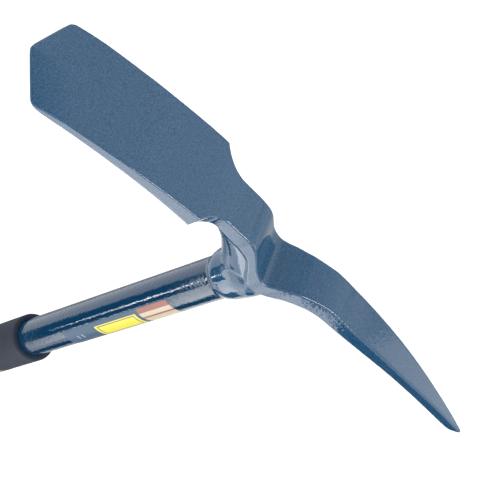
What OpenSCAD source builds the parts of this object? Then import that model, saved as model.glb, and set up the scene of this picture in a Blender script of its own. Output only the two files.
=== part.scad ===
// Long-handled prospecting pick: a one-piece forged head, with a pointed digging
// blade on one side and a curved pick on the other, on a round steel tube with a
// rubber grip.
//
// Frame: Z runs up the handle's axis from the bottom of the butt, the blade points
// along -X, the pick along +X, and the head is symmetric about the plane Y = 0.
// All sizes are in millimetres.

/* [Overall] */
// Height from the bottom of the butt to the flat at the blade's root
datum_h = 633; // [560:1:760]

/* [Blade] */
// Reach of the blade's point from the handle's axis
blade_reach = 200; // [150:0.5:250]
// Length of the pointed end, from its corners to the point
vee_len = 14; // [6:1:30]
// Width across the corners of the pointed end
blade_tip_w = 57.5; // [44:0.5:76]
// Width just before the shoulders
blade_root_w = 54; // [42:0.5:72]
// Thickness at the pointed end
blade_tip_t = 6; // [4:0.5:9]
// Thickness just before the shoulders
blade_root_t = 13; // [9:0.5:16]
// Dip of the pointed end below the blade's root
blade_tip_dip = 2.5; // [0:0.5:8]
// Height of the blade's long arch above its root
blade_crown = 2; // [0:0.5:6]
// Distance of the shoulders from the handle's axis
shoulder_x = 72; // [62:1:90]
// Length over which the shoulders narrow to the neck
shoulder_len = 22; // [14:1:26]
// Width of the ground bevel along the two edges of the point
bevel_w = 5.5; // [3:0.5:9]

/* [Neck and eye] */
// Width of the neck
neck_w = 29; // [24:0.5:36]
// Width across the flats beside the eye
eye_w = 33; // [28:0.5:38]
// Depth of the valley over the handle, below the blade's root
valley_drop = 32; // [24:1:36]
// How far the boss stands out from the tube, above the weld
boss_wall = 2.7; // [1.6:0.1:5]
// Height of the boss's foot below the blade's root
boss_drop = 79; // [72:1:95]
// Depth of the plain spigot that the tube slides over
spigot_len = 28; // [12:1:50]

/* [Pick] */
// Reach of the pick's point from the handle's axis
pick_reach = 208; // [160:1:260]
// Drop of the pick's crest below the blade's root
crest_drop = 18.2; // [14:0.1:23]
// Distance of the crest from the handle's axis
crest_x = 41; // [34:1:50]
// Drop of the point below the crest
point_drop = 46.5; // [20:0.5:80]
// Width of the pick where it leaves the crest
pick_w = 26; // [20:0.5:30]
// Width just behind the point
point_w = 6.6; // [4:0.2:9]
// Thickness at the crest
pick_t = 15.8; // [12:0.2:18]
// Thickness along the slender half
slender_t = 9.2; // [7:0.2:12]
// Thickness of the blunt point
point_t = 4.5; // [3:0.1:6]

/* [Handle tube] */
// Outer diameter of the tube
tube_d = 28.6; // [25.4:0.1:30]
// Wall of the tube
tube_wall = 1.65; // [1.2:0.05:3]

/* [Grip] */
// Length of the grip from its mouth to the bottom of the butt
grip_len = 308; // [240:1:400]
// Rubber wall over the tube
grip_wall = 4.05; // [3:0.05:6]
// Thickness of the closed butt
butt_t = 6; // [4:0.5:12]
// Rounding of the butt's edge
butt_round = 4; // [2:0.5:6]
// Rounding of the mouth's edge
mouth_round = 1.5; // [0.5:0.1:2]
// Depth of the inlay on the pick's side of the grip
inlay_t = 1.2; // [0.8:0.1:1.8]
// Plain grip between the mouth and the inlay's nose
inlay_start = 45; // [25:1:80]
// Plain grip between the inlay and the bottom of the butt
inlay_end = 30; // [20:1:60]

/* [Label] */
// Length of the label
label_len = 133; // [60:1:150]
// Distance of the label's upper end from the boss's foot
label_gap = 50; // [20:1:60]
// Angle that the label covers round the tube
label_arc = 75; // [40:1:120]
// Thickness of the printed film
label_t = 0.15; // [0.1:0.05:0.3]

/* [Hidden] */
$fn = 96;

paint_blue = [0.25, 0.37, 0.49];
tube_blue = [0.16, 0.30, 0.42];
rubber_navy = [0.25, 0.27, 0.36];
inlay_tan = [0.57, 0.56, 0.50];
plug_grey = [0.35, 0.36, 0.38];
label_grey = [0.37, 0.41, 0.51];

tube_r = tube_d / 2;
boss_r = tube_r + boss_wall;
bore_r = tube_r - tube_wall;
grip_r = tube_r + grip_wall;
foot_z = datum_h - boss_drop;
slip_gap = 0.1;             // radial gap between a plug or spigot and the tube's bore
edge_r = 1.6;               // small radius on the forging's long edges
bevel_edge = 1.2;           // metal left at the ground edges of the point
bevel_drop = 1.8;           // how far below the top face the ground edges lie
shoulder_lead = 0.6;        // below 1, the shoulders turn in sharply and then fair out
plug_stem = 14;
plug_head = 2;
weld_h = 8;                 // height of the weld on the tube and the boss together
weld_out = 0.5;             // how far the weld's toe ends inside the boss's radius
weld_prep = weld_h * 0.4;   // height of the chamfer that the weld fills
label_mid = -83;            // direction that the middle of the label faces
inlay_cut_x = 3.5;          // the inlay covers the grip beyond this plane
inlay_slope = 0.6;          // slope of the inlay's two ends

// ---- Interpolation along the head ----

// Value of a smooth curve through knots [x, value], in increasing x
function slope_at(k, i) =
    i == 0 ? (k[1][1] - k[0][1]) / (k[1][0] - k[0][0])
    : i == len(k) - 1 ? (k[i][1] - k[i - 1][1]) / (k[i][0] - k[i - 1][0])
    : (k[i + 1][1] - k[i - 1][1]) / (k[i + 1][0] - k[i - 1][0]);
function span_of(k, x, i = 0) = i >= len(k) - 2 || x <= k[i + 1][0] ? i : span_of(k, x, i + 1);
function curve(k, x) = let (
    i = span_of(k, x),
    w = k[i + 1][0] - k[i][0],
    t = max(0, min(1, (x - k[i][0]) / w)),
    m0 = slope_at(k, i) * w,
    m1 = slope_at(k, i + 1) * w)
    (2 * pow(t, 3) - 3 * t * t + 1) * k[i][1] + (pow(t, 3) - 2 * t * t + t) * m0
    + (3 * t * t - 2 * pow(t, 3)) * k[i + 1][1] + (pow(t, 3) - t * t) * m1;
// Straight lines through the same kind of knots
function line(k, x) = let (i = span_of(k, x), t = (x - k[i][0]) / (k[i + 1][0] - k[i][0]))
    k[i][1] + (k[i + 1][1] - k[i][1]) * max(0, min(1, t));
function ease(t) = let (u = max(0, min(1, t))) u * u * (3 - 2 * u);

// ---- Side profile, measured down from the blade's root ----

blade_len = blade_reach - shoulder_x;
pick_run = pick_reach - crest_x;
function along_pick(s) = crest_x + pick_run * s;
function droop(s) = -crest_drop - point_drop * (0.56 * s + 0.44 * s * s);

// Places along the neck, as shares of the way from the handle's axis to the shoulders
function along_neck(s) = -shoulder_x * s;

top_knots = [
    [-blade_reach, -blade_tip_dip],
    [-blade_reach + blade_len * 0.4, blade_crown * 0.6],
    [-blade_reach + blade_len * 0.7, blade_crown],
    [-shoulder_x, 0],
    [along_neck(0.64), -5],
    [along_neck(0.44), -8],
    [along_neck(0.3), -valley_drop * 0.42],
    [along_neck(0.1), -valley_drop * 0.87],
    [1, -valley_drop],
    [7, -valley_drop * 0.98],
    [14, -(valley_drop * 0.6 + crest_drop * 0.4)],
    [24, -crest_drop * 1.16],
    for (s = [0 : 0.125 : 1]) [along_pick(s), droop(s)],
];
// Height of the flat side faces
side_t_knots = [
    [-blade_reach, blade_tip_t],
    [-blade_reach + blade_len * 0.35, blade_tip_t * 1.2],
    [-shoulder_x - blade_len * 0.22, blade_root_t * 0.8],
    [-shoulder_x, blade_root_t],
    [along_neck(0.92), blade_root_t * 1.1],
    [along_neck(0.75), blade_root_t * 0.9],
    [along_neck(0.53), blade_root_t],
    [along_neck(0.39), blade_root_t * 0.92],
    [along_neck(0.22), blade_root_t * 0.77],
    [0, pick_t * 0.95],
    [14, pick_t * 1.27],
    [24, pick_t * 1.13],
    [crest_x, pick_t],
    [along_pick(0.22), pick_t * 0.76 + slender_t * 0.1],
    [along_pick(0.45), slender_t * 1.06],
    [along_pick(0.6), slender_t],
    [along_pick(0.93), slender_t * 0.92],
    [pick_reach, point_t],
];
// Underside along the middle: the round keel that runs down into the boss
keel_from = along_neck(0.81);
keel_to = crest_x - 5;
keel_low = boss_drop - 17;
keel_knots = [
    [keel_from, -16],
    [along_neck(0.69), -keel_low * 0.35],
    [along_neck(0.53), -keel_low * 0.59],
    [along_neck(0.36), -keel_low * 0.79],
    [along_neck(0.22), -keel_low * 0.97],
    [0, -keel_low],
    [10, -keel_low * 0.95],
    [17, -keel_low * 0.81],
    [26, -keel_low * 0.65],
    [keel_to, -crest_drop - pick_t - 0.2],
];
// Half width: straight stretches, with the shoulders as one smooth step
side_knots = [
    [-blade_reach, 1.2],
    [-blade_reach + vee_len, blade_tip_w / 2],
    [-shoulder_x, blade_root_w / 2],
];
neck_end = along_neck(0.42);
eye_knots = [
    [neck_end, neck_w / 2],
    [along_neck(0.17), neck_w / 2],
    [1, eye_w / 2],
    [20, (eye_w * 0.3 + pick_w * 0.7) / 2 + 0.6],
    [crest_x, pick_w / 2],
    [along_pick(0.22), pick_w / 2 * 0.9],
    [along_pick(0.5), (pick_w * 0.6 + point_w * 0.4) / 2],
    [along_pick(0.87), point_w / 2],
    [pick_reach, 0.8],
];
function shoulder_share(x) = ease(pow(max(0, x + shoulder_x) / shoulder_len, shoulder_lead));
function half_w(x) =
    x <= -shoulder_x ? line(side_knots, x)
    : x <= -shoulder_x + shoulder_len
        ? blade_root_w / 2 + (neck_w - blade_root_w) / 2 * shoulder_share(x)
    : x <= neck_end ? neck_w / 2
    : curve(eye_knots, x);

// ---- Swept bar of the head ----

// Share of the round keel in the section at x, from 0 (flat underside) to 1
function keel_share(x) = ease((x - keel_from) / 10) * ease((keel_to - x) / 8);

// Section at x: flat sides and top, and an underside that is flat or a half ellipse
function section(x) = let (
    h = half_w(x),
    zt = datum_h + curve(top_knots, x),
    t = curve(side_t_knots, x),
    r = min(edge_r, h * 0.45, t * 0.3),
    q = r * 0.293,
    zs = zt - t + r,
    k = keel_share(x),
    depth = k > 0 ? zs - datum_h - curve(keel_knots, x) : 0,
    flat = [[h - q, r - q], [h - r, r], [(h - r) / 2, r]],
    under = [for (i = [0 : 2]) let (a = 90 * (i + 1) / 4)
        flat[i] * (1 - k) + [h * cos(a), depth * sin(a)] * k],
    mid = r * (1 - k) + depth * k)
    concat(
        [[x, -h + r, zt], [x, h - r, zt], [x, h - q, zt - q], [x, h, zt - r], [x, h, zs]],
        [for (p = under) [x, p[0], zs - p[1]]],
        [[x, 0, zs - mid]],
        [for (i = [2 : -1 : 0]) [x, -under[i][0], zs - under[i][1]]],
        [[x, -h, zs], [x, -h, zt - r], [x, -h + q, zt - q]]);
function steps(a, b, n) = [for (i = [0 : n - 1]) a + (b - a) * i / n];
stations = concat(
    steps(-blade_reach, -blade_reach + vee_len, 2),
    steps(-blade_reach + vee_len, -shoulder_x, 12),
    steps(-shoulder_x, -shoulder_x + shoulder_len, 10),
    steps(-shoulder_x + shoulder_len, crest_x, 36),
    steps(crest_x, pick_reach, 26),
    [pick_reach]);

module swept_bar() {
    rings = [for (x = stations) each section(x)];
    n = len(section(0));
    count = len(stations);
    polyhedron(points = rings, faces = concat(
        [[for (j = [n - 1 : -1 : 0]) j]],
        [for (i = [0 : count - 2], j = [0 : n - 1])
            each [[i * n + j, (i + 1) * n + (j + 1) % n, (i + 1) * n + j],
                  [i * n + j, i * n + (j + 1) % n, (i + 1) * n + (j + 1) % n]]],
        [[for (j = [0 : n - 1]) (count - 1) * n + j]]));
}

// Cutter that grinds the bevel along one edge of the point, on top or underneath
module bevel_cutter(edge_z, rise) {
    edge_angle = atan2(blade_tip_w / 2, vee_len);
    big = blade_tip_w;
    translate([-blade_reach, 0, edge_z])
        rotate([0, 0, edge_angle])
        rotate([-atan2(rise, bevel_w), 0, 0])
        translate([-big, -big, rise > 0 ? 0 : -big])
        cube([3 * big, 2 * big, big]);
}
module bevel_cutters() {
    edge_top = datum_h - blade_tip_dip - bevel_drop;
    bevel_cutter(edge_top, bevel_drop);
    bevel_cutter(edge_top - bevel_edge, bevel_drop + bevel_edge - blade_tip_t);
}

// ---- Head ----

// Radius of the round boss at each height, closing in like a dome under the eye
boss_low = weld_prep - boss_drop;
boss_top = -valley_drop - 4;
boss_knots = [
    [0, boss_r - weld_out],
    [0.12, boss_r + 0.4],
    [0.3, boss_r + 1],
    [0.47, boss_r + 1.5],
    [0.62, boss_r + 1.4],
    [0.77, boss_r],
    [1, boss_r - 4],
];
module boss() {
    rotate_extrude()
        polygon(concat(
            [[0, datum_h + boss_low]],
            [for (s = [0 : 0.05 : 1])
                [curve(boss_knots, s), datum_h + boss_low + (boss_top - boss_low) * s]],
            [[0, datum_h + boss_top]]));
    // chamfered foot and spigot
    translate([0, 0, foot_z])
        cylinder(r1 = tube_r, r2 = boss_r - weld_out, h = weld_prep);
    translate([0, 0, foot_z - spigot_len])
        cylinder(r = bore_r - slip_gap, h = spigot_len + 1);
}

module head_forging() {
    color(paint_blue)
        union() {
            difference() {
                swept_bar();
                bevel_cutters();
                mirror([0, 1, 0])
                    bevel_cutters();
            }
            boss();
        }
}

// ---- Handle ----

tube_z = butt_t + plug_head;
module handle_tube() {
    color(tube_blue)
        translate([0, 0, tube_z])
        difference() {
            cylinder(r = tube_r, h = foot_z - tube_z);
            translate([0, 0, -1])
                cylinder(r = bore_r, h = foot_z - tube_z + 2);
        }
}

module weld_bead() {
    color(tube_blue)
        rotate_extrude()
        polygon([
            [tube_r, foot_z - weld_h * 0.6],
            [tube_r + 0.25, foot_z - weld_h * 0.45],
            [tube_r + 0.75, foot_z - weld_h * 0.15],
            [boss_r - weld_out - 0.5, foot_z + weld_prep * 0.6],
            [boss_r - weld_out, foot_z + weld_prep],
            [tube_r, foot_z],
        ]);
}

module tube_end_plug() {
    color(plug_grey)
        translate([0, 0, butt_t])
        union() {
            cylinder(r = tube_r, h = plug_head);
            cylinder(r = bore_r - slip_gap, h = plug_head + plug_stem);
        }
}

// ---- Grip ----

// Quarter-round points of radius r about (cx, cz), from angle a to angle b
function arc(cx, cz, r, a, b) = [for (i = [0 : 6]) let (t = a + (b - a) * i / 6)
    [cx + r * cos(t), cz + r * sin(t)]];

module inlay_solid() {
    half = grip_len;
    intersection() {
        difference() {
            cylinder(r = grip_r, h = grip_len);
            translate([0, 0, -1])
                cylinder(r = grip_r - inlay_t, h = grip_len + 2);
        }
        translate([0, half / 2, 0])
            rotate([90, 0, 0])
            linear_extrude(half)
            polygon([
                [inlay_cut_x, inlay_end + inlay_slope * grip_r],
                [grip_r + 1, inlay_end],
                [grip_r + 1, grip_len - inlay_start],
                [inlay_cut_x, grip_len - inlay_start - inlay_slope * grip_r],
            ]);
    }
}

module grip_sleeve() {
    color(rubber_navy)
        difference() {
            rotate_extrude()
                polygon(concat(
                    [[0, 0]],
                    arc(grip_r - butt_round, butt_round, butt_round, -90, 0),
                    arc(grip_r - mouth_round, grip_len - mouth_round, mouth_round, 0, 90),
                    [[tube_r, grip_len], [tube_r, butt_t], [0, butt_t]]));
            inlay_solid();
        }
}

module grip_inlay() {
    color(inlay_tan)
        inlay_solid();
}

module label() {
    color(label_grey)
        translate([0, 0, foot_z - label_gap - label_len])
        rotate([0, 0, label_mid - label_arc / 2])
        rotate_extrude(angle = label_arc)
        translate([tube_r, 0])
        square([label_t, label_len]);
}

head_forging();
handle_tube();
weld_bead();
tube_end_plug();
grip_sleeve();
grip_inlay();
label();
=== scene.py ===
# %% [markdown]
# # A long-handled rock pick
#
# The tool is a one-piece forged head, with a digging blade on one side and a curved pick on the other,
# welded to a round steel tube with a rubber grip. The imported model fixes every size. This lesson gives
# each piece its real surface: rounded forging edges, glossy paint with an orange-peel skin, a weld bead,
# a printed film and a rubber sleeve. Then it lights the tool in a small studio.
#
# We load the imported model first, and read the boxes of its nodes. Nothing that follows may outgrow it.

# %% Load the imported model
import math

import bpy
import numpy as np
from mathutils import Matrix, Vector


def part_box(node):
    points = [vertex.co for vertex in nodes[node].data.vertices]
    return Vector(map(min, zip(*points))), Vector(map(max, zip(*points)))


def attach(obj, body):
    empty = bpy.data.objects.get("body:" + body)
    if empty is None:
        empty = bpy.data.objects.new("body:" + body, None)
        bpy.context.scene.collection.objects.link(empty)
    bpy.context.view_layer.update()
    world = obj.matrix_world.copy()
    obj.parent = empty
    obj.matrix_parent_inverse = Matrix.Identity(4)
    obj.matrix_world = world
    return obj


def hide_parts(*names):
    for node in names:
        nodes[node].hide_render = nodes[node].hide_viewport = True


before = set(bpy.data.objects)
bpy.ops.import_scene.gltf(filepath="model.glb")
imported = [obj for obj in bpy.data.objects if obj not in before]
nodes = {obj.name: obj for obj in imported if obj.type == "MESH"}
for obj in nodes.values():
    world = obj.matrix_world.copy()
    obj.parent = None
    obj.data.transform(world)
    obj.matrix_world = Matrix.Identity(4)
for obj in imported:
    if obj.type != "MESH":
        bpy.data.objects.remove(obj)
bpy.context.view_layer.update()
print("packed nodes:", sorted(nodes))

# %% [markdown]
# ## Sizes
#
# Lengths are easiest to think about in millimetres, and Blender works in metres, so every surface is worked
# out in millimetres and scaled at the very end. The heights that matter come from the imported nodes: the
# boss's foot is the top of the tube, and the head's own heights count down from the flat at the blade's root.

# %% Read the heights that everything else hangs from
MM = 0.001


def box_mm(node):
    """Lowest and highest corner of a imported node, in millimetres."""
    low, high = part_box(node)
    return np.array(low) / MM, np.array(high) / MM


tube_low, tube_high = box_mm("handle_tube")
grip_low, grip_high = box_mm("grip_sleeve")
film_low, film_high = box_mm("label")
BOSS_DROP = 79.0
FOOT = tube_high[2]
ROOT = FOOT + BOSS_DROP
TUBE_R = tube_high[0]
GRIP_R = (grip_high[1] - grip_low[1]) / 2
print(f"tube radius {TUBE_R:.2f}, boss foot {FOOT:.1f}, blade root {ROOT:.1f}, grip radius {GRIP_R:.2f}")

# %% [markdown]
# ## The camera
#
# The tool stands upright on its butt, and the camera looks down at the head from beyond the blade's near
# side, turned on its side so that the handle runs towards the lower left. Three angles and one distance to a
# point near the eye say this exactly. A long lens keeps the perspective gentle.

# %% Place the camera
AIM = Vector((-12.89, 0.20, 594.72)) * MM
DISTANCE = 0.84725
AZIMUTH, ELEVATION, ROLL = map(math.radians, (-42.003, 50.188, 71.16))
FOCAL_MM, SENSOR_MM, FAR_CLIP = 101.215, 36.0, 50.0

level = math.cos(ELEVATION)
back = Vector((math.sin(AZIMUTH) * level, -math.cos(AZIMUTH) * level, math.sin(ELEVATION)))
level_up = (Vector((0, 0, 1)) - back * back.z).normalized()
level_right = level_up.cross(back)
right = level_right * math.cos(ROLL) + level_up * math.sin(ROLL)
up = level_up * math.cos(ROLL) - level_right * math.sin(ROLL)

lens = bpy.data.cameras.new("camera")
lens.lens, lens.sensor_width, lens.clip_end = FOCAL_MM, SENSOR_MM, FAR_CLIP
camera = bpy.data.objects.new("camera", lens)
turn = Matrix((right, up, back)).transposed().to_4x4()
camera.matrix_world = Matrix.Translation(AIM + back * DISTANCE) @ turn
bpy.context.scene.collection.objects.link(camera)
bpy.context.scene.camera = camera
print("camera at", [round(v, 4) for v in camera.matrix_world.translation])

# %% [markdown]
# ## From arrays to pieces
#
# Every piece ends the same way: an array of corners in millimetres and an array of faces become a mesh, the
# mesh gets smooth shading, the piece rides on the imported body, and the node it replaces is hidden. One
# helper does all of it.

# %% A helper that turns arrays into a piece


def make_piece(name, corners, faces, node, slot, material):
    """Mesh from corners (n, 3) in millimetres and a list of equal-sided face arrays; the node it replaces is
    hidden.
    """
    mesh = bpy.data.meshes.new(name)
    mesh.vertices.add(len(corners))
    mesh.vertices.foreach_set("co", (np.asarray(corners, np.float64) * MM).ravel())
    groups = [np.asarray(f) for f in faces if len(f)]
    sides = np.concatenate([np.full(len(f), f.shape[1]) for f in groups])
    mesh.loops.add(int(sides.sum()))
    mesh.loops.foreach_set("vertex_index", np.concatenate([f.ravel() for f in groups]).astype(np.int32))
    mesh.polygons.add(len(sides))
    starts = np.concatenate([[0], np.cumsum(sides)[:-1]])
    mesh.polygons.foreach_set("loop_start", starts.astype(np.int32))
    mesh.update(calc_edges=True)
    mesh.validate()
    mesh.shade_smooth()
    mesh.materials.append(material)
    piece = bpy.data.objects.new(name, mesh)
    bpy.context.scene.collection.objects.link(piece)
    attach(piece, "root")
    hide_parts(node)
    print(f"{name}: {len(corners)} corners, {len(sides)} faces")
    return piece


# %% [markdown]
# ## Paint, rubber, plastic and film
#
# The steel is sprayed with a deep teal-blue paint under a clear gloss coat. Three things make it look real:
# the tiny flakes and pits in the colour, the fine texture of the sprayed film, and the orange-peel waviness
# of the clear coat, which tears the edges of reflections into small teeth. Noise on object coordinates gives
# all three at true scale, because object coordinates are metres: a scale of 400 makes bumps 2.5 mm wide.

# %% Helpers for node finishes


def link(tree, source, target):
    """Join an output to an input."""
    tree.links.new(source, target)


def node(tree, kind, **settings):
    """A new node; each setting is one of its properties or the value of one of its inputs."""
    made = tree.nodes.new(kind)
    for key, value in settings.items():
        if hasattr(made, key):
            setattr(made, key, value)
        else:
            made.inputs[key.title()].default_value = value
    return made


def noise(tree, scale, detail=2.0):
    """Noise on object coordinates; scale is in bumps per metre."""
    cloud = node(tree, "ShaderNodeTexNoise", scale=scale, detail=detail)
    link(tree, node(tree, "ShaderNodeTexCoord").outputs["Object"], cloud.inputs["Vector"])
    return cloud.outputs["Fac"]


def ramp(tree, value, stops):
    """Colours over a value: stops are (position, colour)."""
    made = tree.nodes.new("ShaderNodeValToRGB")
    elements = made.color_ramp.elements
    while len(elements) < len(stops):
        elements.new(0.5)
    for element, (position, colour) in zip(elements, stops):
        element.position, element.color = position, (*colour, 1)
    link(tree, value, made.inputs["Fac"])
    return made.outputs["Color"]


def finish(name, **sockets):
    """A new material, its tree and its shader; the constants go straight onto the shader's own sockets."""
    made = bpy.data.materials.new(name)
    made.use_nodes = True
    shader = made.node_tree.nodes["Principled BSDF"]
    for key, value in sockets.items():
        shader.inputs[key.replace("_", " ")].default_value = value
    return made, made.node_tree, shader


def mottle(tree, shader, scale, deep, pale, detail=2.0, half_range=0.2):
    """Base colour from deep to pale by noise; half_range is how far from its mean the noise reaches them."""
    stops = [(0.5 - half_range, deep), (0.5 + half_range, pale)]
    link(tree, ramp(tree, noise(tree, scale, detail), stops), shader.inputs["Base Color"])


def grain(tree, shader, scale, depth_mm, socket="Normal"):
    """Bumps of noise, a few hundredths of a millimetre deep, on one of the shader's normals."""
    bump = tree.nodes.new("ShaderNodeBump")
    bump.inputs["Distance"].default_value = depth_mm * MM
    link(tree, noise(tree, scale), bump.inputs["Height"])
    link(tree, bump.outputs["Normal"], shader.inputs[socket])


# %% The paint of the head, tube and weld
FLAKE_SCALE, GRAIN_SCALE, PEEL_SCALE = 1500, 1100, 420


def spray_paint(name, deep, pale, flake_mm, peel_mm, coat_roughness):
    """Blue paint from deep to pale by fine flakes, and a clear coat with an orange-peel skin."""
    made, tree, shader = finish(name, Roughness=0.5, Specular_IOR_Level=0.0,
                                Coat_Weight=1.0, Coat_Roughness=coat_roughness, Coat_IOR=1.5)
    mottle(tree, shader, FLAKE_SCALE, deep, pale, half_range=0.15)
    grain(tree, shader, GRAIN_SCALE, flake_mm)
    grain(tree, shader, PEEL_SCALE, peel_mm, "Coat Normal")
    return made


head_paint = spray_paint("head_paint", (0.004, 0.046, 0.105), (0.038, 0.115, 0.225), 0.06, 0.06, 0.05)
tube_paint = spray_paint("tube_paint", (0.002, 0.032, 0.08), (0.005, 0.046, 0.11), 0.02, 0.2, 0.04)
print("paints made")

# %% Rubber, hidden plastic and printed film
grip_rubber, tree, shader = finish("grip_rubber", Roughness=0.7, Specular_IOR_Level=0.16)
mottle(tree, shader, 60, (0.018, 0.026, 0.046), (0.026, 0.035, 0.058), detail=3.0)
grain(tree, shader, 2200, 0.04)

inlay_rubber, tree, shader = finish("inlay_rubber", Roughness=0.7, Specular_IOR_Level=0.35)
mottle(tree, shader, 90, (0.26, 0.25, 0.2), (0.31, 0.3, 0.25), detail=3.0)
grain(tree, shader, 1800, 0.05)

plug_plastic, tree, shader = finish("plug_plastic", Roughness=0.5)
mottle(tree, shader, 300, (0.09, 0.09, 0.1), (0.11, 0.11, 0.12))
nodes["tube_end_plug"].data.materials[0] = plug_plastic

label_film, tree, shader = finish("label_film", Roughness=0.42, Specular_IOR_Level=0.35)
print_colour = node(tree, "ShaderNodeAttribute", attribute_name="print")
link(tree, print_colour.outputs["Color"], shader.inputs["Base Color"])
grain(tree, shader, 700, 0.02)
print("rubber, plastic and film made")

# %% [markdown]
# ## Curves along the head
#
# A forging has no sharp changes along its length, so each of its measures is one smooth curve over the
# distance from the handle's axis: negative towards the blade's point, positive towards the pick's. A few
# knots fix each curve, and a cubic on each span joins them with no kink.

# %% Smooth curves through knots


def through(knots, x):
    """Cubic on each span; its end slopes are those of the chord between the knots on either side."""
    at, value = np.array(knots, float).T
    slope = np.gradient(value, at)
    slope[1:-1] = (value[2:] - value[:-2]) / (at[2:] - at[:-2])
    i = np.clip(np.searchsorted(at, x) - 1, 0, len(at) - 2)
    span = at[i + 1] - at[i]
    t = np.clip((x - at[i]) / span, 0, 1)
    return (
        (2 * t**3 - 3 * t**2 + 1) * value[i]
        + (t**3 - 2 * t**2 + t) * span * slope[i]
        + (3 * t**2 - 2 * t**3) * value[i + 1]
        + (t**3 - t**2) * span * slope[i + 1]
    )


def ease(t):
    """0 below 0, 1 above 1, and a smooth step 3t^2 - 2t^3 between them."""
    t = np.clip(t, 0, 1)
    return t * t * (3 - 2 * t)


# Distances from the handle's axis: the blade's point, the pick's tip, the shoulders, the crest of the pick.
BLADE, PICK, SHOULDER, CREST = 200.0, 208.0, 71.6, 41.0
# The length of the blade's pointed end, and half the width at its corners, at the shoulders and at the neck.
VEE, CORNER, ROOT_HALF, NECK_HALF = 14.0, 28.75, 27.0, 14.8
SHOULDER_RUN = 21

# Beyond its crest the pick's top falls along one arc: height at the crest, whole fall, and how far it bends.
CREST_HEIGHT, PICK_FALL, PICK_BEND = -18.2, 46.5, 0.44
pick_shares = np.linspace(0, 1, 9)
fallen = (1 - PICK_BEND) * pick_shares + PICK_BEND * pick_shares**2
pick_line = np.column_stack([CREST + (PICK - CREST) * pick_shares, CREST_HEIGHT - PICK_FALL * fallen])

# Height of the top, thickness, height of the rib's lower edge, and the rib's and the bar's half widths.
TOP = [(-200, -2.5), (-148.8, 1.2), (-110.4, 2), (-72, 0), (-46.1, -5), (-31.7, -8), (-21.6, -13.4),
       (-9, -26.6), (-2.5, -31), (2, -32.2), (6.5, -30.6), (11, -27.4), (16, -24.7), (24, -21.2),
       *map(tuple, pick_line)]
THICK = [(-200, 6), (-155.2, 7.2), (-100.2, 10.4), (-72, 13), (-66.2, 14.3), (-54, 11.7), (-38.2, 13),
         (-28.1, 12), (-15.8, 10), (0, 15), (14, 19.2), (24, 17.2), (41, 15.4), (77.7, 12.9),
         (116.2, 9.8), (141.2, 9.2), (196.3, 8.5), (208, 4.5)]
KEEL = [(-58.3, -17), (-49.7, -24.6), (-38.2, -35.2), (-25.9, -50), (-15.8, -62.1), (0, -64),
        (10, -60.5), (17, -51.5), (26, -40), (36, -33.4)]
RIB = [(-58.3, 10), (-49.7, 12.6), (-38.2, 13.5), (-25.9, 14.2), (-15.8, 14.9), (0, 15.6), (20, 14.2),
       (36, 12.3)]
HALF = [(-30.2, 14.9), (-12.2, 16.3), (1, 17.2), (20, 14.8), (41, 13.1), (77.7, 12.2), (124.5, 9.6),
        (186.3, 3.5), (208, 0.9)]
# The boss's radius over its height, counted down from the blade's root.
BOSS = [(-79, 14.5), (-75.8, 16.2), (-71, 17.4), (-64, 18), (-57, 18.5), (-51, 18.4), (-45, 17), (-36, 13)]


def half_width(x):
    """Straight along the blade, a smooth step at the shoulders, then the curve of neck, eye and pick."""
    blade = ROOT_HALF + (CORNER - ROOT_HALF) * (-SHOULDER - x) / (BLADE - VEE - SHOULDER)
    share = ease((np.maximum(x + SHOULDER, 0) / SHOULDER_RUN) ** 0.5)
    shoulder = ROOT_HALF + (NECK_HALF - ROOT_HALF) * share
    return np.where(x < -SHOULDER, blade, np.where(x < HALF[0][0], shoulder, through(HALF, x)))


print("width at the shoulders, neck and eye:", 2 * half_width(np.array([-72.0, -40.0, 1.0])))

# %% [markdown]
# ## The forged head as a distance field
#
# The head is one lump of steel: a bar that changes width and thickness, a round rib under the neck, and a
# boss for the handle, all flowing into each other with fillets. A grid of two parameters can follow the bar,
# but not the places where rib, boss and bar melt together. So this one piece is made another way: numpy works
# out, at every point of a fine block of space, how far that point is from the steel, negative inside.
#
# Such distances combine simply. The larger of two is what the two shapes share, the smaller is both together,
# and a circle in place of the sharp switch makes the rounded edge of a forging or the fillet of a weld.

# %% Rounded intersections and filleted unions


def shared(a, b, radius):
    """Intersection of two distances; near the edge, the distance is to a circle about the inner corner."""
    corner = np.hypot(np.maximum(a + radius, 0), np.maximum(b + radius, 0)) - radius
    return np.where((a > -radius) & (b > -radius), corner, np.maximum(a, b))


def steepness(field, pitch):
    """Slope of a field along its three directions."""
    return np.array(np.gradient(field, pitch), np.float32)


def melted(a, b, radius, pitch):
    """Union of two distances with a fillet, which shrinks to nothing where the surfaces run side by side."""
    ga, gb = steepness(a, pitch), steepness(b, pitch)
    along = (ga * gb).sum(0) / np.sqrt((ga**2).sum(0) * (gb**2).sum(0) + 1e-9)
    r = radius * np.clip(1 - along, 0, 1)
    fillet = r - np.hypot(np.maximum(r - a, 0), np.maximum(r - b, 0))
    return np.where((a < r) & (b < r), fillet, np.minimum(a, b))


# %% [markdown]
# ## The bar, the rib and the boss
#
# Each distance is a height or width difference divided by the length of its slope, which makes it a true
# distance close to the surface. The pointed end adds two upright planes and four ground bevels. No forging is
# quite even: the near side's outline sits two millimetres closer to the pick than the far side's, so the near
# shoulder is ground a little further round.

# %% The head's distance field
PITCH = 0.7
gx = np.arange(-203, 211, PITCH)
gy = np.arange(-31.15, 31.2, PITCH)
gz = np.arange(-82.5, 5, PITCH)
X, Y, Z = (a.astype(np.float32) for a in np.meshgrid(gx, gy, gz, indexing="ij", sparse=True))
SIDE = np.abs(Y)


def along_x(values):
    """Values over x, laid out to spread over the whole block."""
    return values.astype(np.float32)[:, None, None]


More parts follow.
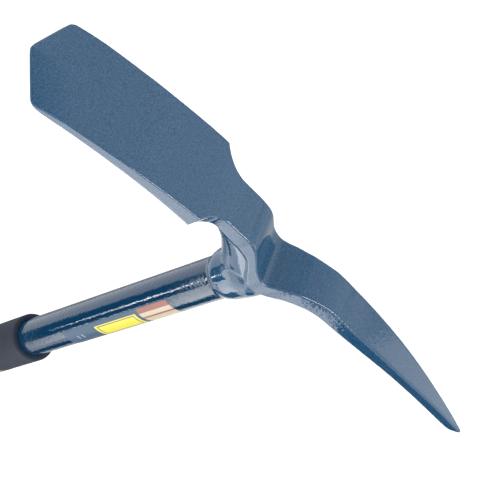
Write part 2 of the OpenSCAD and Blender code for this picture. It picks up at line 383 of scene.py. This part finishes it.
def leaning(values):
    """Cosine of the slope of a curve over x, which turns a height difference into a distance."""
    return along_x(1 / np.hypot(1, np.gradient(values, PITCH)))


def sideways(half):
    """Distance outside an upright wall that stands half a width from the middle plane."""
    return (SIDE - along_x(half)) * leaning(half)


NEAR_SHIFT, FAR_SHIFT = 1.2, -0.7
side_face = np.where(Y < 0, sideways(half_width(gx - NEAR_SHIFT)), sideways(half_width(gx - FAR_SHIFT)))
top = through(TOP, gx)
under = top - through(THICK, gx)
top_face = (Z - along_x(top)) * leaning(top)
under_face = (along_x(under) - Z) * leaning(under)

# The outline of the pointed end: two slanted planes that leave a narrow flat nose.
NOSE_HALF, CORNER_ROUND, NOSE_ROUND = 1.2, 3.0, 1.5
slant = CORNER - NOSE_HALF
vee = (-(X + BLADE - VEE) * slant + (SIDE - CORNER) * VEE) / math.hypot(VEE, slant)
outline = shared(shared(side_face, vee, CORNER_ROUND), -BLADE - X, NOSE_ROUND)

# The bevels: each falls from a face to its own height at the slanted edge, over the same run.
GROUND_RUN, GROUND_ROUND = 5.5, 3.0
NOSE_TOP, GROUND_TOP, GROUND_UNDER, NOSE_UNDER = -2.5, -4.3, -5.5, -8.5


def ground(face_height, edge_height, side):
    """Distance outside a bevel along the point; side is 1 for the top face and -1 for the under face."""
    lean = math.atan2(abs(face_height - edge_height), GROUND_RUN)
    return vee * math.sin(lean) + side * (Z - edge_height) * math.cos(lean)


top_face = shared(top_face, ground(NOSE_TOP, GROUND_TOP, 1), GROUND_ROUND)
under_face = shared(under_face, ground(NOSE_UNDER, GROUND_UNDER, -1), GROUND_ROUND)

# The rounding of the long edges, over x, and the pick's blunt tip with a short grind on its underside.
EDGE_ROUND = [(-192, 0.5), (-183, 1.1), (60, 1.1), (150, 1.0), (208, 0.8)]
TIP_ROUND, GRIND_EDGE_ROUND = 1.2, 0.8
GRIND_AT, GRIND_FACING = (199, -71), (0.45, -0.89)
edge = along_x(np.interp(gx, *np.array(EDGE_ROUND).T))
bar = shared(shared(outline, top_face, edge), under_face, edge)
bar = shared(bar, X - PICK, TIP_ROUND)
tip_grind = GRIND_FACING[0] * (X - GRIND_AT[0]) + GRIND_FACING[1] * (Z - GRIND_AT[1])
bar = shared(bar, tip_grind, GRIND_EDGE_ROUND)
print("bar field", bar.shape, "inside share", round(float((bar < 0).mean()), 4))

# %% The rib under the neck, and the boss
# At each x the rib is half an ellipse that hangs from a seat just inside the bar. With k0 the length of the
# point scaled by the half axes, and k1 the length of its slope, the distance is close to k0 (k0 - 1) / k1.
# Above the seat its upper half is as tall as most of the bar, so that it never shows through the top.
RIB_START, RIB_END = KEEL[0][0], KEEL[-1][0]
SEAT_INSIDE, UPPER_SHARE, RIB_MELT = 1.3, 0.8, 2.0
rib_half = through(RIB, np.clip(gx, RIB_START, RIB_END))
seat = under + SEAT_INSIDE
depth = np.maximum(seat - through(KEEL, gx), 1.0)
below = along_x(seat) - Z
drop = np.where(below > 0, along_x(depth), along_x(through(THICK, gx) * UPPER_SHARE))
k0 = np.sqrt((SIDE / along_x(rib_half)) ** 2 + (below / drop) ** 2)
k1 = np.sqrt((SIDE / along_x(rib_half**2)) ** 2 + (below / drop**2) ** 2) + 1e-4
rib = k0 * (k0 - 1) / k1
rib = np.maximum(rib, np.maximum(RIB_START - X, X - RIB_END))
rib /= np.maximum(np.sqrt((steepness(rib, PITCH) ** 2).sum(0)), 0.5)

# The boss's foot is a straight cone up to its second knot, so that the weld has a clean edge to sit on.
BOSS_TOP, BOSS_ROUND, FOOT_ROUND, BOSS_MELT = -37.0, 6.0, 0.1, 3.5
cone = np.interp(gz, *np.array(BOSS[:2]).T)
boss_radius = np.where(gz < BOSS[1][0], cone, through(BOSS[1:], gz))
boss_lean = 1 / np.hypot(1, np.gradient(boss_radius, PITCH))
boss = (np.hypot(X, Y) - boss_radius.astype(np.float32)) * boss_lean.astype(np.float32)
boss = shared(shared(boss, Z - BOSS_TOP, BOSS_ROUND), -BOSS_DROP - Z, FOOT_ROUND)

steel = melted(melted(bar, rib, RIB_MELT, PITCH), boss, BOSS_MELT, PITCH)
print("steel field ready, inside share", round(float((steel < 0).mean()), 4))

# %% [markdown]
# ## A skin over the field
#
# The surface is where the distance is zero. In every small cell that the surface crosses we put one corner,
# at the mean of the points where it cuts the cell's twelve edges, and each grid line that pierces the surface
# joins the four corners round it into one face. Two small steps along the slope then settle every corner on
# the true surface. All of it is whole-array work: the only loops run over twelve edges and three directions.

# %% Wrap the field in faces


def sample(field, p):
    """Value of a field at points p, in cell units, mixed from the eight grid points around each."""
    i = np.clip(np.floor(p).astype(int), 0, np.array(field.shape) - 2)
    f = p - i
    total = 0
    for dx in (0, 1):
        for dy in (0, 1):
            for dz in (0, 1):
                weight = np.prod(np.where(np.array([dx, dy, dz]) == 1, f, 1 - f), axis=1)
                total = total + weight * field[i[:, 0] + dx, i[:, 1] + dy, i[:, 2] + dz]
    return total


def skin(field):
    """Corners, in cell units, and quads of the surface where the field is zero, facing outwards."""
    inside = field < 0
    cuts = [np.array(c) for c in np.ndindex(2, 2, 2)]
    cells = tuple(n - 1 for n in field.shape)
    window = [tuple(slice(c[a], c[a] + cells[a]) for a in range(3)) for c in cuts]
    count = sum(inside[w].astype(np.int8) for w in window)
    where = np.argwhere((count > 0) & (count < 8))
    value = [field[tuple((where + c).T)] for c in cuts]
    total, hits = np.zeros((len(where), 3)), np.zeros(len(where))
    for a in range(8):
        for b in range(a + 1, 8):
            if np.abs(cuts[a] - cuts[b]).sum() != 1:
                continue
            crossed = (value[a] < 0) != (value[b] < 0)
            t = np.where(crossed, value[a] / np.where(crossed, value[a] - value[b], 1), 0)
            total += crossed[:, None] * (cuts[a] + t[:, None] * (cuts[b] - cuts[a]))
            hits += crossed
    corners = where + total / hits[:, None]
    number = np.full(cells, -1, np.int64)
    number[tuple(where.T)] = np.arange(len(where))
    quads = []
    for axis in range(3):
        lo = [slice(1, -1)] * 3
        hi = [slice(1, -1)] * 3
        lo[axis], hi[axis] = slice(0, -1), slice(1, None)
        changed = np.argwhere(inside[tuple(lo)] != inside[tuple(hi)])
        base = changed + np.array([0 if a == axis else 1 for a in range(3)])
        u, v = np.eye(3, dtype=int)[(axis + 1) % 3], np.eye(3, dtype=int)[(axis + 2) % 3]
        ring = np.stack([number[tuple((base - s).T)] for s in (u * 0, u, u + v, v)], axis=1)
        leaves = inside[tuple(base.T)]
        ring[~leaves] = ring[~leaves][:, ::-1]
        quads.append(ring)
    return corners, np.concatenate(quads)


corners, quads = skin(steel)
slope = steepness(steel, 1.0)
for _ in range(2):
    g = np.stack([sample(s, corners) for s in slope], axis=1)
    corners = corners - (sample(steel, corners) / (g**2).sum(1))[:, None] * g
corners = corners * PITCH + np.array([gx[0], gy[0], gz[0] + ROOT])
print("head skin:", len(corners), "corners,", len(quads), "faces")

make_piece("head", corners, [quads], "head_forging", "head_paint", head_paint)


# %% [markdown]
# ## Turned pieces
#
# The tube, the weld bead and the grip's sleeve are round, so each is a profile carried round the handle's
# axis: a surface of two parameters, the place along the profile and the angle. A third function may push the
# surface in or out a little at each place and angle, which gives the weld its ripples.

# %% A profile carried round the axis


def wrapped(radius, angle, height):
    """Points (radius cos angle, radius sin angle, height)."""
    return np.stack(np.broadcast_arrays(radius * np.cos(angle), radius * np.sin(angle), height), -1)


def turned(profile, spokes, closed, push=None):
    """Every profile point at every angle; a closed profile is a ring, and an open one ends in two poles."""
    line = np.asarray(profile, float)
    angle = np.linspace(0, 2 * np.pi, spokes, endpoint=False)[None, :]
    radius = np.repeat(line[:, :1], spokes, 1)
    height = np.repeat(line[:, 1:], spokes, 1)
    if push is not None:
        radius = radius + push(radius, angle, height)
    grid = wrapped(radius, angle, height)
    count = len(line)
    i = np.arange(count if closed else count - 1)[:, None]
    j = np.arange(spokes)[None, :]
    here, there = i * spokes, (i + 1) % count * spokes
    turn = (j + 1) % spokes
    quads = np.stack([here + j, here + turn, there + turn, there + j], -1).reshape(-1, 4)
    if closed:
        return grid.reshape(-1, 3), [quads]
    poles = np.array([[0, 0, line[0, 1]], [0, 0, line[-1, 1]]])
    first, last = count * spokes, count * spokes + 1
    j = np.arange(spokes)
    start = np.stack([np.full(spokes, first), (j + 1) % spokes, j], -1)
    end = (count - 1) * spokes + np.stack([j, (j + 1) % spokes], -1)
    end = np.column_stack([end, np.full(spokes, last)])
    return np.concatenate([grid.reshape(-1, 3), poles]), [quads, start, end]


def path(*points, step=3.0):
    """Points every few millimetres along straight lines through the given points."""
    points = np.array(points, float)
    runs = [
        a + (b - a) * np.linspace(0, 1, max(2, int(np.hypot(*(b - a)) / step) + 1))[:-1, None]
        for a, b in zip(points[:-1], points[1:])
    ]
    return np.concatenate([*runs, points[-1:]])


def round_corner(cx, cz, radius, start, stop, count=9):
    """Points of an arc about (cx, cz), from one angle to another in degrees."""
    a = np.radians(np.linspace(start, stop, count))
    return np.column_stack([cx + radius * np.cos(a), cz + radius * np.sin(a)])


# %% The tube and its weld
WALL = 1.65
bore = TUBE_R - WALL
tube_loop = path((TUBE_R, tube_low[2]), (TUBE_R, FOOT), (bore, FOOT), (bore, tube_low[2]),
                 (TUBE_R, tube_low[2]))[:-1]


def hand_straight(radius, angle, height):
    """Drawn tube is not a perfect cylinder: two slow waves of a few hundredths, only ever inwards."""
    return -0.02 * (1 + np.sin(height / 23 + 2 * angle) * np.cos(height / 61 - angle))


make_piece("tube", *turned(tube_loop, 128, True, hand_straight), "handle_tube", "tube_paint", tube_paint)

# The bead's outside curls up from the tube to the boss; its back is buried in the tube's wall.
BEAD_RISE, BEAD_CURL, BURIED = 2.0, 2.8, 0.4
weld_low, weld_high = box_mm("weld_bead")
crown = np.linspace(0, 1, 13)
weld_z = weld_low[2] + (weld_high[2] - weld_low[2]) * crown
weld_r = TUBE_R - 0.03 + BEAD_RISE * crown**BEAD_CURL
weld_back = [(TUBE_R - BURIED, FOOT + 2), (TUBE_R - BURIED, FOOT - 3)]
weld_loop = np.concatenate([np.column_stack([weld_r, weld_z]), weld_back])


def ripples(radius, angle, height):
    """The bead's overlapping ripples: 46 soft scallops that lean with the direction of welding."""
    lean = 46 * angle + 1.6 * np.sin(3 * angle) + (height - weld_low[2]) * 0.9
    outer = np.clip((radius - TUBE_R) / 1.2, 0, 1)
    return outer * (0.03 * np.sin(lean) + 0.06 * np.sin(5 * angle + 1))


make_piece("weld", *turned(weld_loop, 240, True, ripples), "weld_bead", "weld_paint", tube_paint)

# %% [markdown]
# ## The grip
#
# The rubber sleeve is a thick-walled tube with a closed butt, a rounded butt edge and a softly rounded mouth.
# The inlay on the pick's side is a second, paler rubber. Its two ends run out in slanted noses, so its
# surface is laid out in its own two parameters: the angle across the grip, and the share of the way between
# the noses.

# %% The sleeve
GRIP_TOP, BUTT_THICK, CORE = grip_high[2], 6.0, 3
BUTT_ROUND, MOUTH_ROUND, LIP_ROUND, PLAY = 4, 1.5, 0.5, 0.05
sleeve_line = np.concatenate([
    path((CORE, 0), (GRIP_R - BUTT_ROUND, 0))[:-1],
    round_corner(GRIP_R - BUTT_ROUND, BUTT_ROUND, BUTT_ROUND, -90, 0),
    path((GRIP_R, 5), (GRIP_R, GRIP_TOP - 2)),
    round_corner(GRIP_R - MOUTH_ROUND, GRIP_TOP - MOUTH_ROUND, MOUTH_ROUND, 0, 90),
    path((GRIP_R - 1.8, GRIP_TOP), (TUBE_R + 0.8, GRIP_TOP)),
    round_corner(TUBE_R + PLAY + LIP_ROUND, GRIP_TOP - LIP_ROUND, LIP_ROUND, 90, 180, 4),
    path((TUBE_R + PLAY, GRIP_TOP - 1), (TUBE_R + PLAY, BUTT_THICK), (CORE, BUTT_THICK), step=6),
])
make_piece("sleeve", *turned(sleeve_line, 128, False), "grip_sleeve", "grip_rubber", grip_rubber)

# %% [markdown]
# The inlay and the printed film are both thin slabs: two grids of points, one outside the other, joined by a
# wall round their border.

# %% A thin slab between two grids


def slab(outer, inner):
    """Corners and faces of the closed slab between two grids of points, each (rows, columns, 3)."""
    rows, cols = outer.shape[:2]
    i, j = np.arange(rows - 1)[:, None], np.arange(cols - 1)[None, :]
    here, across = i * cols + j, (i + 1) * cols + j
    cell = np.stack([here, across, across + 1, here + 1], -1).reshape(-1, 4)
    border = np.concatenate([
        np.arange(rows) * cols, (rows - 1) * cols + np.arange(1, cols),
        np.arange(rows - 1)[::-1] * cols + cols - 1, np.arange(1, cols - 1)[::-1],
    ])
    after = np.roll(border, -1)
    wall = np.stack([after, border, border + rows * cols, after + rows * cols], -1)
    faces = np.concatenate([cell, cell[:, ::-1] + rows * cols, wall])
    return np.concatenate([outer.reshape(-1, 3), inner.reshape(-1, 3)]), [faces]


# %% The inlay
# It is cut off by a flat CUT_X from the axis, and its ends slant back by NOSE of the grip's radius.
CUT_X, NOSE, FROM_MOUTH, FROM_BUTT = 3.5, 0.6, 45.0, 30.0
HALF_ACROSS, PROUD, SUNK, INLAY_DEPTH = 22.0, 0.25, 0.1, 1.1
across = np.linspace(-1, 1, 81)[:, None]
share = np.linspace(0, 1, 241)[None, :]
angle = across * math.acos(CUT_X / GRIP_R)
reach = (GRIP_R + 1 - GRIP_R * np.cos(angle)) / (GRIP_R + 1 - CUT_X) * NOSE * GRIP_R
low_end, high_end = FROM_BUTT + reach, GRIP_TOP - FROM_MOUTH - reach
height = low_end + (high_end - low_end) * share

# A quarter circle one millimetre across rounds the edge: it rises from sunk to proud of the sleeve.
rim = np.minimum((1 - np.abs(across)) * HALF_ACROSS, np.minimum(share, 1 - share) * (high_end - low_end))
lift = PROUD * np.sqrt(1 - (1 - np.clip(rim, 0, 1)) ** 2) - SUNK
inlay_slab = slab(wrapped(GRIP_R + lift, angle, height), wrapped(GRIP_R - INLAY_DEPTH, angle, height))
make_piece("inlay", *inlay_slab, "grip_inlay", "inlay_rubber", inlay_rubber)

# %% [markdown]
# ## The printed film
#
# A thin film wraps part of the tube. Its print is plain: a yellow panel with a fine inner line, two short
# ticks, and a cream field with a broad and a narrow red band. The film is a fine grid over angle and height,
# so the print can be worked out at each of its corners and stored with the mesh.

# %% The film and its print
FILM_MID, FILM_ARC, FILM_THICK = math.radians(-83), math.radians(75), 0.14
turns = np.linspace(FILM_MID - FILM_ARC / 2, FILM_MID + FILM_ARC / 2, 85)[:, None]
rise = np.linspace(film_low[2], film_high[2], 467)[None, :]
film_face = wrapped(TUBE_R + FILM_THICK, turns, rise)
film = make_piece("film", *slab(film_face, wrapped(TUBE_R, turns, rise)), "label", "label_film", label_film)


def patch(low_angle, high_angle, low_z, high_z):
    """True inside a panel given by two angles in degrees and two heights."""
    a = np.degrees(turns)
    return ((a > low_angle) & (a < high_angle) & (rise > low_z) & (rise < high_z))[..., None]


BLUE, YELLOW, LINE = (0.032, 0.09, 0.17), (0.83, 0.72, 0.035), (0.06, 0.08, 0.16)
CREAM, RED, TICK = (0.6, 0.5, 0.36), (0.32, 0.12, 0.09), (0.55, 0.57, 0.62)
prints = [
    (patch(-108, -57, 411, 464), YELLOW),
    (patch(-104, -61, 414, 461) & ~patch(-101.5, -63.5, 415, 460), LINE),
    (patch(-121, -45, 468, 504), CREAM),
    (patch(-121, -103, 468, 504) | patch(-88, -82, 468, 504), RED),
    (patch(-96, -80, 384, 384.9) | patch(-96, -80, 390, 390.9), TICK),
]
ink = np.broadcast_to(np.array(BLUE), film_face.shape)
for inside, colour in prints:
    ink = np.where(inside, colour, ink)
both_sides = np.concatenate([ink.reshape(-1, 3)] * 2)
colours = np.column_stack([both_sides, np.ones(len(both_sides))])
film.data.color_attributes.new("print", "FLOAT_COLOR", "POINT").data.foreach_set("color", colours.ravel())

# %% [markdown]
# ## The studio
#
# Glossy paint shows its surroundings, so the studio is built for what the paint reflects. The floor and the
# sky are pale and soft. Two soft boxes beyond the pick brighten the neck and the slope of the pick.
# Reflection cards stand round the handle and lie on the floor, bright or dark, and only reflections see them.

# %% Floor and sky
scene = bpy.context.scene
scene.view_settings.view_transform = "Standard"
UP = (0, 0, 1)


def stage_square(name, corners, material):
    """A flat four-cornered object of the studio, which is no part of the tool; corners in metres."""
    mesh = bpy.data.meshes.new(name)
    mesh.from_pydata(corners, [], [(0, 1, 2, 3)])
    mesh.materials.append(material)
    made = bpy.data.objects.new(name, mesh)
    scene.collection.objects.link(made)
    return made


stage_white, tree, shader = finish(
    "stage_white", Roughness=0.9, Specular_IOR_Level=0.0, Base_Color=(0.82, 0.82, 0.82, 1),
    Emission_Color=(1, 1, 1, 1), Emission_Strength=0.32,
)
stage_square("floor", [(-6, -6, 0), (6, -6, 0), (6, 6, 0), (-6, 6, 0)], stage_white)

# The sky is bright all round and dims towards one high patch.
SKY_PATCH, SKY_STRENGTH = (-0.4, 0.1, 0.9), 1.15
SKY_LEVELS = [(0.6, 1.15), (0.8, 1.0), (0.9, 0.7), (0.97, 0.5)]
world = bpy.data.worlds.new("sky")
scene.world = world
world.use_nodes = True
sky = world.node_tree
towards = sky.nodes.new("ShaderNodeVectorMath")
towards.operation = "DOT_PRODUCT"
towards.inputs[1].default_value = SKY_PATCH
link(sky, node(sky, "ShaderNodeTexCoord").outputs["Generated"], towards.inputs[0])
glow = ramp(sky, towards.outputs["Value"], [(at, (level,) * 3) for at, level in SKY_LEVELS])
link(sky, glow, sky.nodes["Background"].inputs["Color"])
sky.nodes["Background"].inputs["Strength"].default_value = SKY_STRENGTH

# %% The cards


def card(name, centre, facing, width, height, glow, seen_by_all=False):
    """An upright or lying card, centre in millimetres, facing a direction; glow is its brightness."""
    normal = Vector(facing).normalized()
    side = Vector(UP).cross(normal)
    side = side.normalized() if side.length > 1e-6 else Vector((1, 0, 0))
    rise = normal.cross(side)
    signs = ((-1, -1), (1, -1), (1, 1), (-1, 1))
    square = [Vector(centre) + side * a * width / 2 + rise * b * height / 2 for a, b in signs]
    light = bpy.data.materials.new(name)
    light.use_nodes = True
    tree = light.node_tree
    tree.nodes.clear()
    lamp = node(tree, "ShaderNodeEmission", strength=glow)
    lamp.inputs["Color"].default_value = (1, 1, 1, 1)
    link(tree, lamp.outputs[0], node(tree, "ShaderNodeOutputMaterial").inputs["Surface"])
    made = stage_square(name, [tuple(c * MM) for c in square], light)
    made.visible_camera = False
    if not seen_by_all:
        made.visible_diffuse = made.visible_shadow = made.visible_transmission = False


# Round the handle: name, angle of its place about the handle, angle that it faces in from, distance, height,
# width, tall, glow. The two dark ones draw the dark bands on the tube, the strips its thin bright lines, and
# the silver ones its pale band.
ROUND_CARDS = [
    ("dark_right", -32, -32, 120, 260, 80, 320, 0.0),
    ("dark_left", -146, -146, 120, 248, 150, 296, 0.0),
    ("strip", -140, -140, 116, 341, 5, 102, 30.0),
    ("strip_low", -140, -140, 116, 250, 2.5, 80, 26.0),
    ("silver", -82, -82, 150, 347, 144, 86, 4.0),
    ("silver_mid", -82, -82, 150, 249, 144, 110, 1.2),
    ("silver_low", -91, -82, 151, 148, 98, 92, 3.0),
]
for name, place, facing, distance, z, width, tall, glow in ROUND_CARDS:
    centre = wrapped(distance, math.radians(place), z)
    card(name, centre, -wrapped(1, math.radians(facing), 0), width, tall, glow)

# The rest: name, centre, facing, width, height, glow. The lying ones light or shade what looks down, which is
# the boss, the sides of the rib and the edges of the blade. The soft boxes light the tool itself as well.
SLANT_IN = (-0.8, -0.5, -0.15)
CARDS = [
    ("key", (140, -355, 5), UP, 320, 210, 2.8),
    ("key_right", (387, -355, 5), UP, 174, 210, 2.1),
    ("key_far", (-115, -860, 5), UP, 1170, 800, 3.4),
    ("key_left", (-228, -335, 5), UP, 415, 250, 4.2),
    ("dark_pick", (686, -275, 5), UP, 424, 350, 0.0),
    ("far_shade", (45, 330, 5), UP, 210, 350, 0.4),
    ("edge_shade", (375, 480, 5), UP, 490, 280, 0.3),
    ("fringe", (215, 130, 5), UP, 230, 380, 0.72),
    ("edge_light", (375, -540, 930), (-0.5, 0.8, -0.45), 500, 260, 20.0),
    ("dark_near", (380, -720, 640), (0, 1, 0), 900, 230, 0.0),
    ("softbox", (1459, 495, 980), SLANT_IN, 505, 700, 1.8, True),
    ("dim_box", (1167, 962, 980), SLANT_IN, 600, 700, 0.9, True),
    ("below", (1330, 770, 320), (-0.8, -0.5, 0), 1100, 600, 0.62),
    ("neck_shade", (1000, 560, 6), UP, 900, 800, 0.6),
    ("dark_far", (400, 1500, 950), (0, -1, 0), 1700, 1300, 0.0),
]
for row in CARDS:
    card(*row)
print("studio ready")
